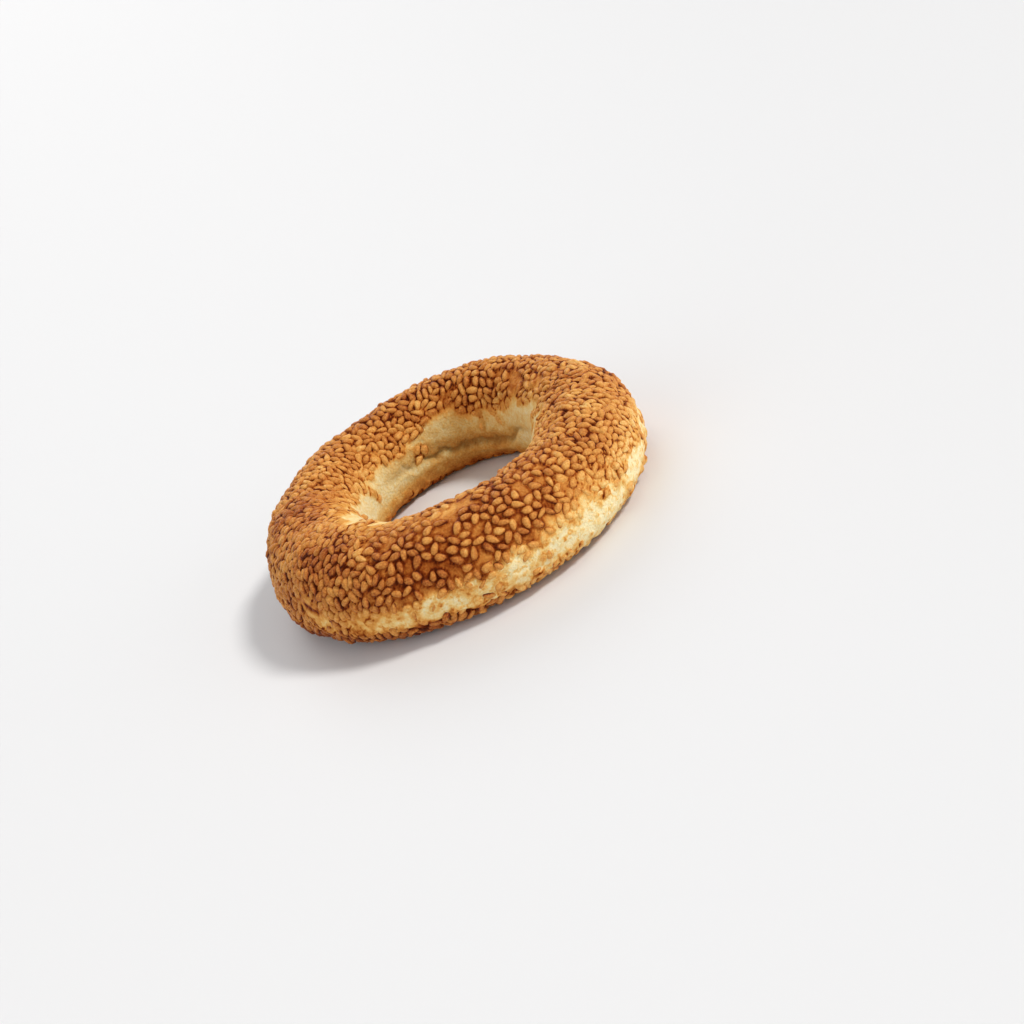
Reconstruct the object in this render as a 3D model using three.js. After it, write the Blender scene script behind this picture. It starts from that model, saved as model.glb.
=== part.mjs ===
// A baked ring of dough under a coat of sesame seeds, as one closed solid.
// It is shaped by hand, so it isn't quite round and swells towards its near side (-Y).
// The top is a rounded crown and the underside is squarer, with a flat where it rests.
// Millimetres, +Z up. The origin lies under the middle of the ring, on the surface it rests on.
//
// "around" is the angle round the hole, from +X towards +Y.
// "across" is the angle round the dough's section: 0 faces out, 90 degrees up, 180 into the hole.
import * as THREE from "three";

// Driving dimensions of the ring, seeds included.
const MIDDLE_RADIUS = 37.8; // from the hole's middle to the middle of the dough
const HALF_WIDTH = 13.5; // of the section, at its widest line
const CROWN_HEIGHT = 15.9; // of the top over the widest line
const BASE_DEPTH = 10.1; // of the underside below the widest line
const BASE_SQUARENESS = 2.9; // power of the underside's outline, where 2 would be an ellipse
const REST_CUT = 0.3; // thickness of the slice that the flat takes off the underside

// How those sizes swing round the ring. A lean swells one side, towards +X or +Y.
// An oval swells two opposite sides, on the axes or on the diagonals.
const RADIUS_SWING = { leanX: 0.002, leanY: 0.049, ovalAxes: 0.003, ovalDiagonals: 0.003 };
const WIDTH_SWING = { leanX: -0.033, leanY: -0.155, ovalAxes: 0.096, ovalDiagonals: -0.007 };
const CROWN_SWING = { leanX: -0.044, leanY: 0.059, ovalAxes: -0.006, ovalDiagonals: 0.032 };

// Soft lumps left by rolling the dough: waves that wind round the section as they go round the ring.
const LUMPS = [
  { height: 0.26, wavesAround: 5, wavesAcross: 1, start: 35 },
  { height: 0.18, wavesAround: 9, wavesAcross: -2, start: 120 },
  { height: 0.12, wavesAround: 14, wavesAcross: 3, start: 230 },
];
const LUMP_FADE_HEIGHT = 6; // above the flat, over which the lumps grow to their full height

// The split that opened along the hole's wall, on the far side, where the two doughs pulled apart.
const SPLIT_MIDDLE = 75; // degrees around
const SPLIT_HALF_LENGTH = 52; // degrees around
const SPLIT_LEVEL = 181; // degrees across
const SPLIT_WANDER = 5; // degrees across
const SPLIT_HALF_WIDTH = 9; // degrees across
const SPLIT_DEPTH = 1.1;

// The pale belt low on the near side, where the crust stretched open and stayed a little behind.
const BELT_MIDDLE = 300; // degrees around
const BELT_HALF_LENGTH = 62; // degrees around
const BELT_LEVEL = -5; // degrees across
const BELT_HALF_WIDTH = 20; // degrees across
const BELT_DEPTH = 0.55;

const STEPS_AROUND = 92;
const STEPS_ACROSS = 50;
const CRUST_COLOUR = 0xb9742f;

const degrees = THREE.MathUtils.degToRad;

// The share by which a size swings at one place around.
function swing(around, { leanX, leanY, ovalAxes, ovalDiagonals }) {
  return (
    leanX * Math.cos(around) +
    leanY * Math.sin(around) +
    ovalAxes * Math.cos(2 * around) +
    ovalDiagonals * Math.sin(2 * around)
  );
}

// The way from one angle to another, from minus half a turn to half a turn.
function angleBetween(from, to) {
  return Math.atan2(Math.sin(to - from), Math.cos(to - from));
}

// 1 in the middle of a stretch and 0 past its ends, with no corner between.
function bell(distance, halfLength) {
  const share = Math.min(Math.abs(distance) / halfLength, 1);
  return Math.cos((share * Math.PI) / 2) ** 2;
}

// A corner rounded by a power above 2: the coordinate of a squared-off ellipse.
function squared(value) {
  return Math.sign(value) * Math.abs(value) ** (2 / BASE_SQUARENESS);
}

// The section's outline, measured outwards and upwards from the middle of its widest line.
function sectionPoint(around, across) {
  const width = HALF_WIDTH * (1 + swing(around, WIDTH_SWING));
  const crown = CROWN_HEIGHT * (1 + swing(around, CROWN_SWING));
  const [out, up] = [Math.cos(across), Math.sin(across)];
  if (up >= 0) return [width * out, crown * up];
  return [width * squared(out), BASE_DEPTH * squared(up)];
}

function lumpHeight(around, across) {
  return LUMPS.reduce(
    (sum, { height, wavesAround, wavesAcross, start }) =>
      sum + height * Math.sin(wavesAround * around + wavesAcross * across + degrees(start)),
    0,
  );
}

function splitDepth(around, across) {
  const level = degrees(SPLIT_LEVEL + SPLIT_WANDER * Math.sin(3 * around));
  return (
    SPLIT_DEPTH *
    bell(angleBetween(degrees(SPLIT_MIDDLE), around), degrees(SPLIT_HALF_LENGTH)) ** 0.5 *
    bell(angleBetween(level, across), degrees(SPLIT_HALF_WIDTH))
  );
}

function beltDepth(around, across) {
  return (
    BELT_DEPTH *
    bell(angleBetween(degrees(BELT_MIDDLE), around), degrees(BELT_HALF_LENGTH)) *
    bell(angleBetween(degrees(BELT_LEVEL), across), degrees(BELT_HALF_WIDTH))
  );
}

// A point of the ring's surface, with the flat at height 0.
function ringPoint(around, across) {
  const [out, up] = sectionPoint(around, across);
  const height = up + BASE_DEPTH - REST_CUT;
  const lump = lumpHeight(around, across) * THREE.MathUtils.smoothstep(height, 0, LUMP_FADE_HEIGHT);
  const swell = lump - splitDepth(around, across) - beltDepth(around, across);
  const radius = MIDDLE_RADIUS * (1 + swing(around, RADIUS_SWING)) + out + swell * Math.cos(across);
  return new THREE.Vector3(
    radius * Math.cos(around),
    radius * Math.sin(around),
    Math.max(0, height + swell * Math.sin(across)),
  );
}

// A plain torus whose points are each moved to the dough's own surface.
function ringGeometry() {
  const torus = new THREE.TorusGeometry(MIDDLE_RADIUS, HALF_WIDTH, STEPS_ACROSS, STEPS_AROUND);
  const points = torus.getAttribute("position");
  for (let i = 0; i < points.count; i++) {
    const [x, y, z] = [points.getX(i), points.getY(i), points.getZ(i)];
    const around = Math.atan2(y, x);
    const across = Math.atan2(z, Math.hypot(x, y) - MIDDLE_RADIUS);
    points.setXYZ(i, ...ringPoint(around, across));
  }
  torus.computeVertexNormals();
  torus.computeBoundingBox();
  return torus;
}

function doughRing() {
  const crust = new THREE.MeshStandardMaterial({
    color: CRUST_COLOUR,
    roughness: 0.55,
    metalness: 0,
  });
  const ring = new THREE.Mesh(ringGeometry(), crust);
  ring.name = "dough_ring";
  const middle = ring.geometry.boundingBox.getCenter(new THREE.Vector3());
  ring.position.set(-middle.x, -middle.y, 0);
  return ring;
}

const cookie = new THREE.Group();
cookie.add(doughRing());

export default cookie;
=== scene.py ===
"""A baked ring of dough under a coat of sesame seeds, on a pale studio floor.

The crust is one mesh that follows the ring's solid a little inside its surface. The seeds are one joined
mesh that stands out of the crust, to about the solid's surface.

"around" is the angle round the hole, from +X towards +Y. "across" is the angle round the dough's section:
0 faces out, 90 degrees up, 180 into the hole and -90 down. "share" is the same way round the section as a
share of its length, so that equal steps are equally long. Lengths are in millimetres until a mesh is made.
"""

import math

import bpy
import numpy as np
from mathutils import Matrix, Vector, noise


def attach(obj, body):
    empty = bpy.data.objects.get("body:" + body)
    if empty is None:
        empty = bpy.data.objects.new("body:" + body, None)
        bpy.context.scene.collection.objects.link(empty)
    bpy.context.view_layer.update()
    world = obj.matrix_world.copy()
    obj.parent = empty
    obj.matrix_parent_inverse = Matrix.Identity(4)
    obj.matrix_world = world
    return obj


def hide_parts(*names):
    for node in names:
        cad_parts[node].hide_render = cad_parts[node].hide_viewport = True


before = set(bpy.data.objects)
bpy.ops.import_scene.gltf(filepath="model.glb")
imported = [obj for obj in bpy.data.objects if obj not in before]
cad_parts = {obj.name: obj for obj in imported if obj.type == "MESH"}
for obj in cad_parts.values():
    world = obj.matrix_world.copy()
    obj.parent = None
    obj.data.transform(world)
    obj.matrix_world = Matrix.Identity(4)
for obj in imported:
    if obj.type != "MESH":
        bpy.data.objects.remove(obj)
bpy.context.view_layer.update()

TURN = 2 * math.pi
METRES = 0.001  # in a millimetre
SEED_OF_CHANCE = 20

# The ring, as its solid has it: see that source for what each size is.
MIDDLE_RADIUS = 37.8
HALF_WIDTH = 13.5
CROWN_HEIGHT = 15.9
BASE_DEPTH = 10.1
BASE_SQUARENESS = 2.9
REST_CUT = 0.3
RADIUS_SWING = (0.002, 0.049, 0.003, 0.003)
WIDTH_SWING = (-0.033, -0.155, 0.096, -0.007)
CROWN_SWING = (-0.044, 0.059, -0.006, 0.032)
LUMPS = (  # height, waves around, waves across, start in degrees
    (0.26, 5, 1, 35),
    (0.18, 9, -2, 120),
    (0.12, 14, 3, 230),
)
LUMP_FADE_HEIGHT = 6.0
BEYOND_RING = MIDDLE_RADIUS + 1.3 * HALF_WIDTH  # a radius that nothing reaches
TURN_STEP = 0.004  # radians around over which slopes are measured
SHARE_STEP = 0.003  # and shares across
NOISE_STRIDE = Vector((17.3, 5.1, 9.7))  # between noise patterns

# The crust's mesh.
STEPS_AROUND = 572
STEPS_ACROSS = 172
SEED_COAT = 0.78  # how far the crust lies inside the solid's surface
CRUST_LOWEST = 0.12  # height of the crust's lowest points over the floor

# Sesame seeds.
SEED_LENGTH = 3.3
SEED_WIDTH = 1.88
COATED_WIDTH = 1.06  # of a packed seed, under its glaze
COATED_LENGTH = 1.10
SEED_TIP = 0.25  # how much narrower a seed is towards its tip
SEED_BLUNTNESS = 0.84  # power of its outline, where 1 would be an ellipse
SEED_SIDES = 12
SEED_RINGS = ((0.95, -0.30, 1.0), (1.0, 0.40, 1.0), (0.64, 0.87, 0.35))  # outline, height, rim shade
SEED_TOP = (-0.05, 0, 1.0)
SEED_FOOT = (0, 0, -0.75)
SEED_OVAL = 0.11  # how uneven a packed seed's outline is
SEED_CORNERS = 0.06
LEAST_UNEVEN = 0.35  # a seed that lies alone, as a share of that
SEED_ROOT = 0.5  # depth under the crust of a seed's height 0
RIM_APART = 0.88  # a lone seed's rim shade, where a packed seed's is 1
RIM_FILLED = 0.85  # how far glaze hides the rim's shade
END_FILLED = 0.4  # more glaze at a seed's ends
LENGTH_SPREAD = (0.10, 0.75, 1.25)  # standard deviation, least and most
WIDTH_SPREAD = (0.13, 0.70, 1.30)
SEEDS_TRIED = 6800
MOST_MELT_SHOWN = 0.97  # a seed more sunk shows only in the crust
CHANCES = (  # what else differs from seed to seed
    "spin", "flip", "keep", "rise", "lean_long", "lean_side", "brown", "sink", "bulge", "oval_turn",
    "corner_turn",
)

# Each round of spreading pushes apart the seeds that lie on each other.
SPREAD_ROUNDS = 36
ROUNDS_BETWEEN = 4  # from one search for neighbours to the next
NEIGHBOUR_REACH = 1.35 * SEED_LENGTH
PUSH = 0.3  # share of an overlap that a round takes away from each side
ROOM = 1.16  # that a seed keeps, as a share of its own size
ROOM_LOST_PACKED = 0.20
ROOM_WON_BARE = 0.3
MOST_ALIGNED = 0.86  # of a seed's free turn is taken away
MOST_OVERLAP = 0.42  # share of two seeds' reach past which one is dropped
OVERLAP_TIGHTENED = 0.2  # how much less that is in the last round

# How seeds stick, sink, stand and brown, each as a share.
STRAYS_BY_EDGE = 0.75  # that stick just past the coat's edge
STRAY_REACH = 9  # degrees across over which strays thin out
SEEDS_LOST = {"bare patch": 0.75, "apart": 0.06, "gaps": 0.42, "lip": 0.3}
GAP_NOISE = (3.4, 16)  # size and pattern
GAP_EDGES = (0.05, 0.35)
RAISED_SHARE = 0.12  # of packed seeds ride up on others
RAISED_HEIGHT = 0.42
BENEATH = (45, 75)  # degrees below level where the underside begins
SEED_MELT = {"patch": 0.6, "border": 0.05, "beneath": 0.5, "slope": 0.34, "lip": 0.12}
SEED_MELT_SPREAD = 0.62
MOST_MELT = 1.1
SEED_LEAN = {"always": 0.34, "crowd": 0.46, "lip": 0.5}
SEED_RISE = {"always": 0.72, "crowd": 0.14, "patch": -0.25, "border": -0.14}
SEED_RISE_SPREAD = 0.30
SEED_TOAST = {"browner below": 0.8, "lip": 0.03, "patch": -0.08}
SEED_TOAST_SPREAD = 0.20
SEED_TOAST_LIMITS = (0.05, 0.85)
BORDER_WIDTH = 0.9  # of the gold width, in which seeds lie flatter and paler
BROWNER_THAN_CRUST = 0.09  # at most, in a border seed
ALIKE_INSIDE = 0.85  # how strictly that holds inside the coat's edge
ALIKE_OUTSIDE = 0.35
PIT_RISE = -0.5  # seeds stay clear of a spot lower than this
PIT_CLEARANCE = 2.6  # of a pit's size

# Layers of noise: amount, size and the pattern's number.
COAT_RAGGEDNESS = ((8, 6.0, 1), (6, 2.4, 3))  # amounts in degrees across
TORN_RAGGEDNESS = ((9, 3.5, 12),)  # so are these
OVEN_TONES = ((0.11, 15.0, 5), (0.12, 5.5, 6))
GLAZE_PATCHES = ((1.0, 3.4, 14), (0.6, 1.5, 15))
SPLIT_RAGGEDNESS = ((0.9, 3.0, 7), (0.55, 1.1, 8))
FLAKES = ((1.3, 1.6, 13),)

# Edges of the seed coat, as (degrees around, degrees across) pairs.
INNER_EDGE = (
    (0, 126), (15, 129), (30, 140), (45, 150), (52, 156), (58, 150), (65, 152), (72, 143), (80, 140),
    (88, 143), (93, 152), (100, 159), (110, 157), (120, 152), (128, 156), (140, 158), (150, 154),
    (160, 150), (172, 142), (180, 135), (195, 121), (210, 109), (222, 102), (232, 99), (245, 108),
    (260, 118), (280, 124), (300, 122), (320, 118), (340, 117),
)
BELT_TOP = (
    (0, 4), (30, 0), (90, 1), (150, 0), (180, -1), (200, -4), (215, 0), (225, 2), (240, 3), (250, 5),
    (260, 5), (270, 6), (285, 9), (300, 9), (315, 9), (330, 12), (345, 14),
)
BELT_BOTTOM = (
    (0, -12), (30, -8), (90, -6), (150, -4), (180, -3), (200, -5), (215, -6), (225, -9), (240, -15),
    (250, -18), (270, -21), (285, -27), (300, -40), (315, -48), (330, -46), (345, -30),
)
UNDER_EDGE = -118  # degrees across, under the hole's wall
OUTER_SIDE = (-70, 60)  # degrees across


# -------- the ring's shape


def swing(around, sizes):
    """The share by which a size swings at each place around."""
    lean_x, lean_y, oval_axes, oval_diagonals = sizes
    lean = lean_x * np.cos(around) + lean_y * np.sin(around)
    return lean + oval_axes * np.cos(2 * around) + oval_diagonals * np.sin(2 * around)


def squared(value):
    return np.sign(value) * np.abs(value) ** (2 / BASE_SQUARENESS)


def section(around, across):
    """The section's outline, outwards and upwards from the middle of its widest line."""
    width = HALF_WIDTH * (1 + swing(around, WIDTH_SWING))
    crown = CROWN_HEIGHT * (1 + swing(around, CROWN_SWING))
    out, up = np.cos(across), np.sin(across)
    upper = up >= 0
    return (
        width * np.where(upper, out, squared(out)),
        np.where(upper, crown * up, BASE_DEPTH * squared(up)),
    )


def share_table(samples=4000):
    """Degrees across, in radians, against the share of the section's length up to there."""
    across = np.linspace(0, TURN, samples + 1)
    out, up = section(np.zeros(samples + 1), across)
    lengths = np.hypot(np.diff(out), np.diff(up))
    shares = np.concatenate(([0], np.cumsum(lengths)))
    return across, shares / shares[-1]


ACROSS_KNOTS, SHARE_KNOTS = share_table()


def across_at(share):
    return np.interp(np.mod(share, 1), SHARE_KNOTS, ACROSS_KNOTS)


def share_at(across):
    return np.interp(np.mod(across, TURN), ACROSS_KNOTS, SHARE_KNOTS)


def smooth(value, low, high):
    """0 below low, 1 above high, and an easy curve between."""
    step = np.clip((value - low) / (high - low), 0, 1)
    return step * step * (3 - 2 * step)


def ring_point(around, share):
    """A point of the solid's surface, with the hole's middle as the origin."""
    across = across_at(share)
    out, up = section(around, across)
    height = up + BASE_DEPTH - REST_CUT
    lump = sum(
        size * np.sin(waves_around * around + waves_across * across + math.radians(start))
        for size, waves_around, waves_across, start in LUMPS
    ) * smooth(height, 0, LUMP_FADE_HEIGHT)
    radius = MIDDLE_RADIUS * (1 + swing(around, RADIUS_SWING)) + out + lump * np.cos(across)
    return np.stack(
        (
            radius * np.cos(around),
            radius * np.sin(around),
            np.maximum(0, height + lump * np.sin(across)),
        ),
        axis=-1,
    )


def ring_frame(around, share):
    """At each place: the point, how it moves per radian around and per share, and the unit normal."""
    point = ring_point(around, share)
    ahead, behind = ring_point(around + TURN_STEP, share), ring_point(around - TURN_STEP, share)
    along = (ahead - behind) / (2 * TURN_STEP)
    ahead, behind = ring_point(around, share + SHARE_STEP), ring_point(around, share - SHARE_STEP)
    over = (ahead - behind) / (2 * SHARE_STEP)
    normal = np.cross(along, over)
    normal /= np.linalg.norm(normal, axis=-1, keepdims=True)
    return point, along, over, normal


def unit(vectors):
    return vectors / np.linalg.norm(vectors, axis=-1, keepdims=True)


def soft_noise(points, size, number):
    """Smooth noise from about -1 to 1, with lumps about size across; each number gives another pattern."""
    shift = NOISE_STRIDE * number
    flat = points.reshape(-1, 3) / size
    values = [noise.noise(Vector(place) + shift) for place in flat.tolist()]
    return np.array(values).reshape(points.shape[:-1])


def layered_noise(points, layers):
    return sum(amount * soft_noise(points, size, number) for amount, size, number in layers)


# -------- what lies where


def keyed(around, keys):
    """A value that changes steadily round the ring, from (degrees around, value) pairs."""
    places, values = zip(*keys)
    return np.interp(np.degrees(around), places, values, period=360)


def signed_degrees(angle):
    """An angle in degrees from -180 to 180."""
    return np.degrees(np.arctan2(np.sin(angle), np.cos(angle)))


def whole_degrees(angle):
    """An angle in degrees from 0 to 360."""
    return np.mod(np.degrees(angle), 360)


def coat_margin(points, around, across):
    """How far inside the seed coat's ragged edge a place is, in degrees across; below 0 it is bare."""
    place = signed_degrees(across)
    top = np.minimum(place - keyed(around, BELT_TOP), keyed(around, INNER_EDGE) - place)
    under = np.minimum(keyed(around, BELT_BOTTOM) - place, place - UNDER_EDGE)
    return np.maximum(top, under) + layered_noise(points, COAT_RAGGEDNESS)


def oven_tone(points):
    """Patches, large and small, that baked browner or paler than what is round them."""
    return layered_noise(points, OVEN_TONES)


def swell(value, middle, half_width):
    """1 at the middle, falling off smoothly for ever."""
    return np.exp(-(((value - middle) / half_width) ** 2))


def peak(value, middle, half_width):
    """1 at the middle, falling to 0 at half_width from it."""
    return 1 - smooth(np.abs(value - middle), 0, half_width)


def peak_around(around, middle, half_width):
    """A peak round the ring, in degrees around."""
    return peak(signed_degrees(around - math.radians(middle)), 0, half_width)


def region(around, across, place):
    """1 in the middle of a place on the ring, falling to 0 at its edges."""
    middle_around, half_around, middle_across, half_across = place
    across_peak = peak(signed_degrees(across), middle_across, half_across)
    return peak_around(around, middle_around, half_around) * across_peak


# How brown things are, from 0, pale crumb, to 1, the darkest creases; where noted, painted light and shade
# are in it too.
GLAZE_BAKE = (  # the crust between the seeds
    (0, 0.6), (30, 0.66), (60, 0.68), (90, 0.68), (120, 0.62), (150, 0.62), (180, 0.66), (210, 0.68),
    (235, 0.63), (250, 0.64), (268, 0.67), (282, 0.62), (292, 0.58), (305, 0.57), (320, 0.56), (345, 0.55),
)
SEED_BAKE = (  # the seeds
    (0, 0.48), (30, 0.5), (60, 0.53), (90, 0.53), (120, 0.46), (150, 0.48), (180, 0.56), (210, 0.54),
    (240, 0.55), (270, 0.53), (300, 0.48), (320, 0.47), (345, 0.48),
)
UNDER_BAKE_LIGHT_AND_SHADE = (  # the crust below the belt: darker at 165 to 220 degrees around with painted shade near the floor, paler at 300 to 330 with painted light from below
    (0, 0.6), (90, 0.7), (165, 0.86), (185, 0.96), (220, 0.92), (236, 0.7), (270, 0.55), (300, 0.32),
    (330, 0.28),
)
BELT_BAKE = (  # the bare belt's middle
    (0, 0.08), (90, 0.22), (175, 0.34), (205, 0.34), (225, 0.22), (240, 0.13), (255, 0.06), (300, 0.0),
    (335, 0.0), (348, 0.04),
)
WALL_BAKE_AND_SHADE = (  # the bare wall of the hole, browner from 45 to 90 degrees around partly as painted shade
    (0, 0.08), (25, 0.11), (45, 0.17), (70, 0.26), (90, 0.19), (110, 0.13), (130, 0.09), (160, 0.08),
    (200, 0.1), (240, 0.16), (300, 0.22),
)
WALL_SHADE_AND_GREY = (  # how much painted shade and grey that wall takes
    (0, 0.0), (40, 0.45), (75, 0.9), (100, 0.7), (120, 0.6), (150, 0.4), (180, 0.3), (240, 0.5),
    (300, 0.5),
)
LOW_WALL_BAKE_AND_SHADE = (  # its browning and painted shade low down, as a share of the usual
    (0, 0.5), (30, 0.5), (60, 0.9), (90, 1.0), (120, 1.3), (180, 1.2), (270, 1.0),
)
BELT_GOLD = (  # degrees across over which the crust pales towards the bare belt
    (0, 34), (60, 26), (150, 30), (185, 42), (200, 62), (215, 62), (228, 38), (240, 16), (262, 10),
    (280, 17), (292, 28), (305, 42), (320, 57), (345, 62),
)
WALL_GOLD = (  # the same towards the bare wall of the hole
    (0, 40), (30, 28), (60, 18), (85, 16), (105, 26), (120, 42), (150, 52), (180, 46), (215, 48),
    (240, 40), (262, 38), (300, 28), (330, 44), (345, 46),
)

BELOW_BELT_FADE = (-5, 3)  # degrees across over which the crust below begins
PATCH_PALENESS = 0.34
GOLD_LOST_BELOW = 0.55  # of the gold width, below the belt
LOW_WALL_BROWNING_AND_SHADE = ((0.20, 180, 196), (0.16, 196, 222))  # browning and painted shade: amount, start and end in degrees across
BELT_FADE = 0.32  # of the gold width, over which the belt pales further
WALL_FADE = 18  # degrees across, over which the wall does
GOLD_CHANGES = (40, 70)  # degrees across from the belt's gold width to the wall's

# Places where the coat differs: middle and half width around, then across, in degrees.
SMOOTH_PATCH = (257, 21, 91, 21)  # on the near crown, baked flat under the glaze
BARE_PATCH = (33, 24, 118, 20)  # on the far crown's inner slope, where few seeds stuck
MELTED_SLOPE = (172, 56, 120, 30)  # at the left end, where seeds sank deepest
TORN_SIDE = (275, 68)  # around only, of the belt's torn lower edge
TORN_FULLNESS = 0.5  # power that widens its middle
FILL_BY_MELTING = 0.14  # how far glaze fills the valleys between seeds
FILL_ON_SLOPE = 0.50

# How the seeds lie.
CROWDING = (  # 0 where seeds lie apart, 1 where they are packed
    (0, 0.95), (40, 0.85), (60, 0.85), (100, 0.9), (130, 0.95), (160, 1.0), (200, 1.0), (222, 0.85),
    (240, 0.4), (255, 0.05), (290, 0.05), (305, 0.45), (320, 0.85), (345, 1.0),
)
MELTING = (  # 0 where they lie on the crust, 1 where they are sunk in glaze
    (0, 0.62), (30, 0.62), (60, 0.52), (90, 0.5), (120, 0.52), (150, 0.54), (180, 0.54), (210, 0.56),
    (228, 0.56), (240, 0.42), (252, 0.2), (285, 0.16), (300, 0.36), (320, 0.5), (345, 0.56),
)
ALIGNMENT = (  # 1 where they lie across the ring, 0 where they lie every way
    (0, 0.72), (60, 0.3), (120, 0.4), (150, 0.8), (180, 0.9), (225, 0.88), (242, 0.25), (300, 0.1),
    (320, 0.4), (340, 0.7),
)
USUAL_CROWDING = 0.75  # off the upper outer side
UPPER_OUTER_SIDE = 45  # degrees across of its middle
OPEN_SIDE_EDGES = (45, 75)  # degrees from there over which the usual begins


def crowding(around, across):
    """How closely the seeds lie, from 0 to 1."""
    off_side = smooth(np.abs(signed_degrees(across) - UPPER_OUTER_SIDE), *OPEN_SIDE_EDGES)
    low = keyed(around, CROWDING)
    return low + (USUAL_CROWDING - low) * off_side * (low < USUAL_CROWDING)


def glaze_fill(points, around, across):
    """How far glaze filled the valleys between packed seeds, from 0, open, to 1, almost level."""
    even = FILL_BY_MELTING * keyed(around, MELTING) + FILL_ON_SLOPE * region(around, across, MELTED_SLOPE)
    return np.clip(even + layered_noise(points, GLAZE_PATCHES), 0, 1)


def gold_width(around, across):
    """Degrees across over which the crust pales towards the nearer bare edge."""
    towards_wall = smooth(signed_degrees(across), *GOLD_CHANGES)
    belt, wall = keyed(around, BELT_GOLD), keyed(around, WALL_GOLD)
    return belt + (wall - belt) * towards_wall


def below_belt(around, across):
    """1 under the bare belt and 0 over it."""
    return smooth(keyed(around, BELT_BOTTOM) - signed_degrees(across), *BELOW_BELT_FADE)


def torn_side(around):
    """1 on the near side, where the belt's lower edge tore."""
    return peak_around(around, *TORN_SIDE) ** TORN_FULLNESS


def faces_out(across):
    """Whether a place is on the ring's outer side, where a bare place belongs to the belt."""
    place = signed_degrees(across)
    return (place > OUTER_SIDE[0]) & (place < OUTER_SIDE[1])


def crust_bake(around, across, margin):
    """How brown the dough's surface is between the seeds, with painted shade low on the hole's wall and
    painted light and shade below the belt.
    """
    below = below_belt(around, across)
    glaze = keyed(around, GLAZE_BAKE)
    glaze = glaze + (keyed(around, UNDER_BAKE_LIGHT_AND_SHADE) - glaze) * below
    glaze = glaze - PATCH_PALENESS * region(around, across, SMOOTH_PATCH)
    width = gold_width(around, across) * (1 - GOLD_LOST_BELOW * below)
    # browning low on the hole's wall, partly painted shade
    down_wall = whole_degrees(across)
    low_wall = sum(amount * smooth(down_wall, start, end) for amount, start, end in LOW_WALL_BROWNING_AND_SHADE)
    wall = keyed(around, WALL_BAKE_AND_SHADE) + low_wall * keyed(around, LOW_WALL_BAKE_AND_SHADE)
    outer = faces_out(across)
    pale = np.where(outer, keyed(around, BELT_BAKE), wall)
    fade = np.where(outer, BELT_FADE * width, WALL_FADE)
    return pale + (glaze - pale) * smooth(margin, -fade, width)


# -------- seeds


def reach(cosine, half_length, half_width):
    """How far an ellipse reaches from its middle, at a cosine to its long axis."""
    long_way = half_width * cosine
    short_way = half_length * np.sqrt(np.maximum(0, 1 - cosine**2))
    return half_length * half_width / np.sqrt(long_way**2 + short_way**2)


def close_pairs(points, distance):
    """Every pair of points nearer than distance."""
    flat = points.astype(np.float32)
    squares = (flat**2).sum(1)
    gaps = squares[:, None] + squares[None] - 2 * flat @ flat.T
    first, second = np.nonzero(gaps < distance**2)
    keep = first < second
    return first[keep], second[keep]


def scatter(chance):
    """Random places over the whole ring, evenly by area."""
    around = chance.uniform(0, TURN, SEEDS_TRIED * 2)
    share = chance.uniform(0, 1, SEEDS_TRIED * 2)
    radius = np.hypot(*ring_point(around, share)[:, :2].T)
    keep = chance.uniform(0, BEYOND_RING, len(radius)) < radius
    return around[keep][:SEEDS_TRIED], share[keep][:SEEDS_TRIED]


def spread_of(chance, count, spread):
    """Random shares of a usual size, about 1."""
    standard, least, most = spread
    return chance.normal(1, standard, count).clip(least, most)


def chosen(seeds, keep):
    return {name: values[keep] for name, values in seeds.items()}


def spread_seeds():
    """Places seeds on the ring, pushing apart those that lie on each other."""
    chance = np.random.default_rng(SEED_OF_CHANCE)
    around, share = scatter(chance)
    count = len(around)
    seeds = {
        "around": around,
        "share": share,
        "length": SEED_LENGTH * spread_of(chance, count, LENGTH_SPREAD),
        "width": SEED_WIDTH * spread_of(chance, count, WIDTH_SPREAD),
    }
    for name in CHANCES:
        seeds[name] = chance.uniform(0, 1, count)
    crowd = crowding(around, across_at(share))
    seeds["width"] *= 1 + (COATED_WIDTH - 1) * crowd
    seeds["length"] *= 1 + (COATED_LENGTH - 1) * crowd
    free_turn = TURN * (seeds["spin"] - 0.5) * (1 - MOST_ALIGNED * keyed(around, ALIGNMENT))
    seeds["heading"] = TURN / 4 + free_turn + np.where(seeds["flip"] < 0.5, TURN / 2, 0)
    for done in range(SPREAD_ROUNDS):
        point, along, over, normal = ring_frame(seeds["around"], seeds["share"])
        across = across_at(seeds["share"])
        if done % ROUNDS_BETWEEN == 0:
            first, second = close_pairs(point, NEIGHBOUR_REACH)
        axis = long_axis(along, normal, seeds["heading"])
        crowd = crowding(seeds["around"], across)
        bare = region(seeds["around"], across, BARE_PATCH)
        room = ROOM - ROOM_LOST_PACKED * crowd + ROOM_WON_BARE * bare
        gap = point[second] - point[first]
        length = np.linalg.norm(gap, axis=1) + 1e-6
        way = gap / length[:, None]
        contact = sum(
            reach((way * axis[one]).sum(1), seeds["length"][one] / 2, seeds["width"][one] / 2)
            * room[one]
            for one in (first, second)
        )
        lack = np.maximum(0, contact - length)
        push = np.zeros_like(point)
        np.add.at(push, first, -PUSH * lack[:, None] * way)
        np.add.at(push, second, PUSH * lack[:, None] * way)
        seeds["around"] += (push * along).sum(1) / (along**2).sum(1)
        seeds["share"] += (push * over).sum(1) / (over**2).sum(1)
        if done % ROUNDS_BETWEEN == ROUNDS_BETWEEN - 1:
            crowded = second[lack > (MOST_OVERLAP - OVERLAP_TIGHTENED * done / SPREAD_ROUNDS) * contact]
            keep = np.ones(len(point), bool)
            keep[crowded] = False
            seeds = chosen(seeds, keep)
    return seeds


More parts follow.
